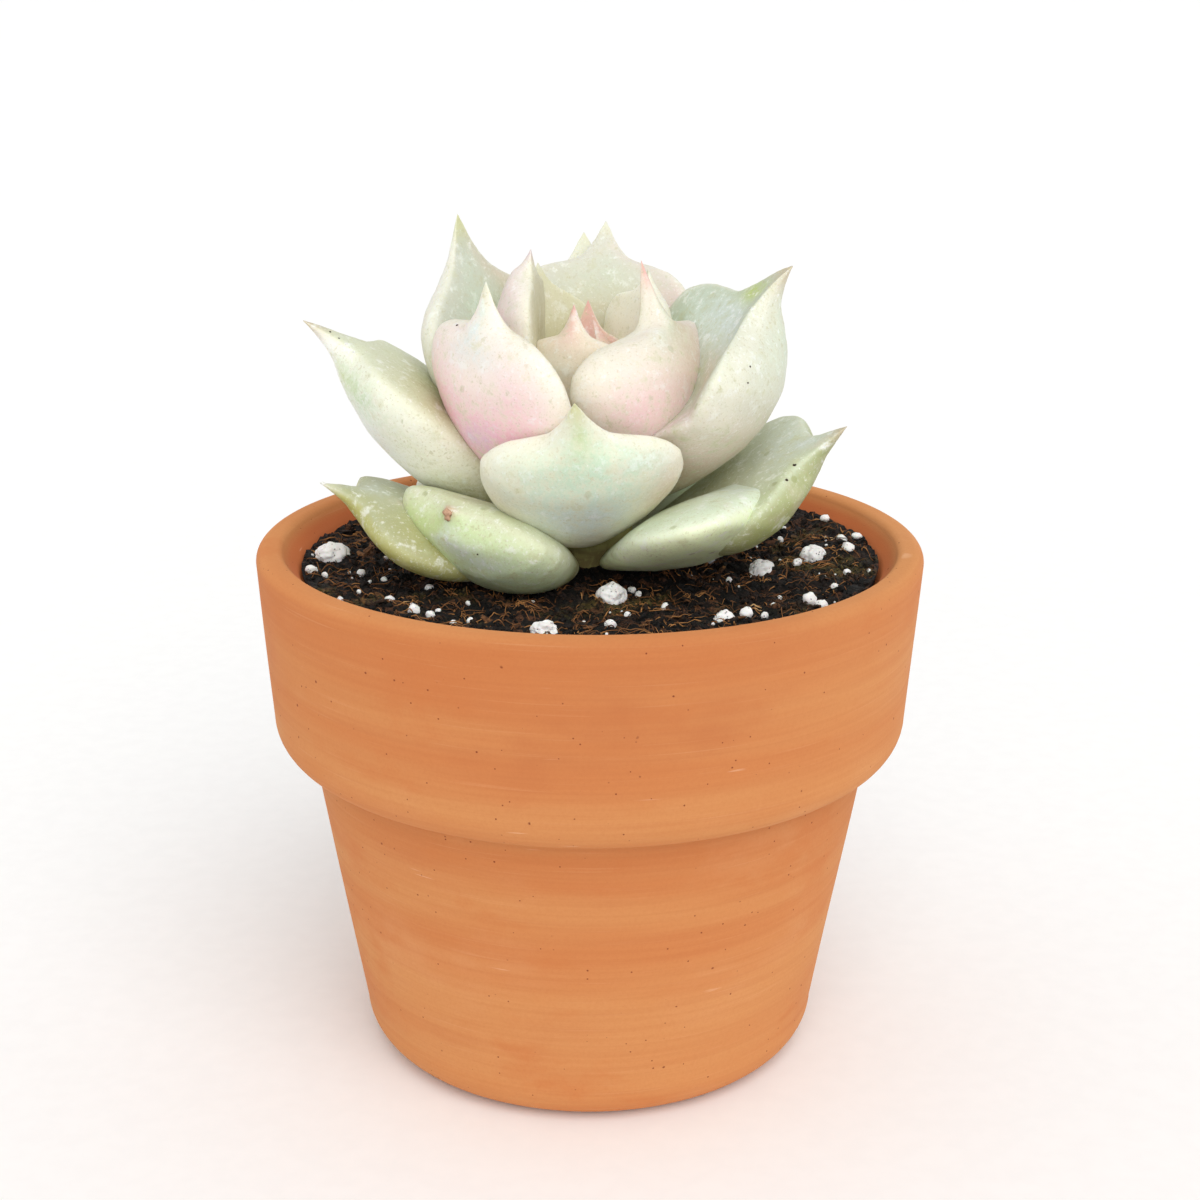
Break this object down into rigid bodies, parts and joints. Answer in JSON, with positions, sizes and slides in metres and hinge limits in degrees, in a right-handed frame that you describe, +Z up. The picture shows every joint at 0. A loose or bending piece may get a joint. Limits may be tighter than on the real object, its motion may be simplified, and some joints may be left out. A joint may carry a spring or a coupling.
{
  "type": "potted succulent",
  "caption": "Rosette succulent with thick pointed pale leaves, standing in potting mix with white grit in a small round clay pot with a collar rim and a drain hole.",
  "frame": {"origin": "centre of the pot's base, on the surface that it stands on", "axes": "+Z up through the pot's axis; -Y towards the side that is seen as the front"},
  "size_m": [0.082, 0.082, 0.1041],
  "materials": {
    "terracotta": "unglazed, fine brushed lines",
    "potting_mix": "loose, fibrous, damp",
    "perlite": "pitted, chalky",
    "stem_skin": "smooth living skin",
    "leaf_low": "fleshy leaf with a powdery bloom",
    "leaf": "fleshy leaf with a powdery bloom",
    "leaf_heart": "fleshy leaf with a powdery bloom, pink tip"
  },
  "bodies": {
    "root": {"leaf_back": "leaf", "leaf_back_left": "leaf", "leaf_back_outer": "leaf", "leaf_front_left": "leaf", "leaf_front_middle": "leaf", "leaf_front_right": "leaf", "leaf_heart_back": "leaf_heart", "leaf_heart_front": "leaf_heart", "leaf_heart_left": "leaf_heart", "leaf_heart_right": "leaf_heart", "leaf_left": "leaf", "leaf_low_back": "leaf_low", "leaf_low_back_left": "leaf_low", "leaf_low_back_right": "leaf_low", "leaf_low_front_left": "leaf_low", "leaf_low_front_right": "leaf_low", "leaf_low_left": "leaf_low", "leaf_low_right": "leaf_low", "leaf_mid_back_left": "leaf", "leaf_mid_back_right": "leaf", "leaf_outer_back_right": "leaf", "leaf_right": "leaf", "leaf_upper_back_left": "leaf", "leaf_upper_left": "leaf", "leaf_upper_right": "leaf", "perlite_back": "perlite", "perlite_back_left": "perlite", "perlite_back_right": "perlite", "perlite_far_right": "perlite", "perlite_front": "perlite", "perlite_front_edge": "perlite", "perlite_front_right": "perlite", "perlite_left": "perlite", "perlite_right": "perlite", "pot": "terracotta", "soil": "potting_mix", "stem": "stem_skin"}
  },
  "joints": []
}
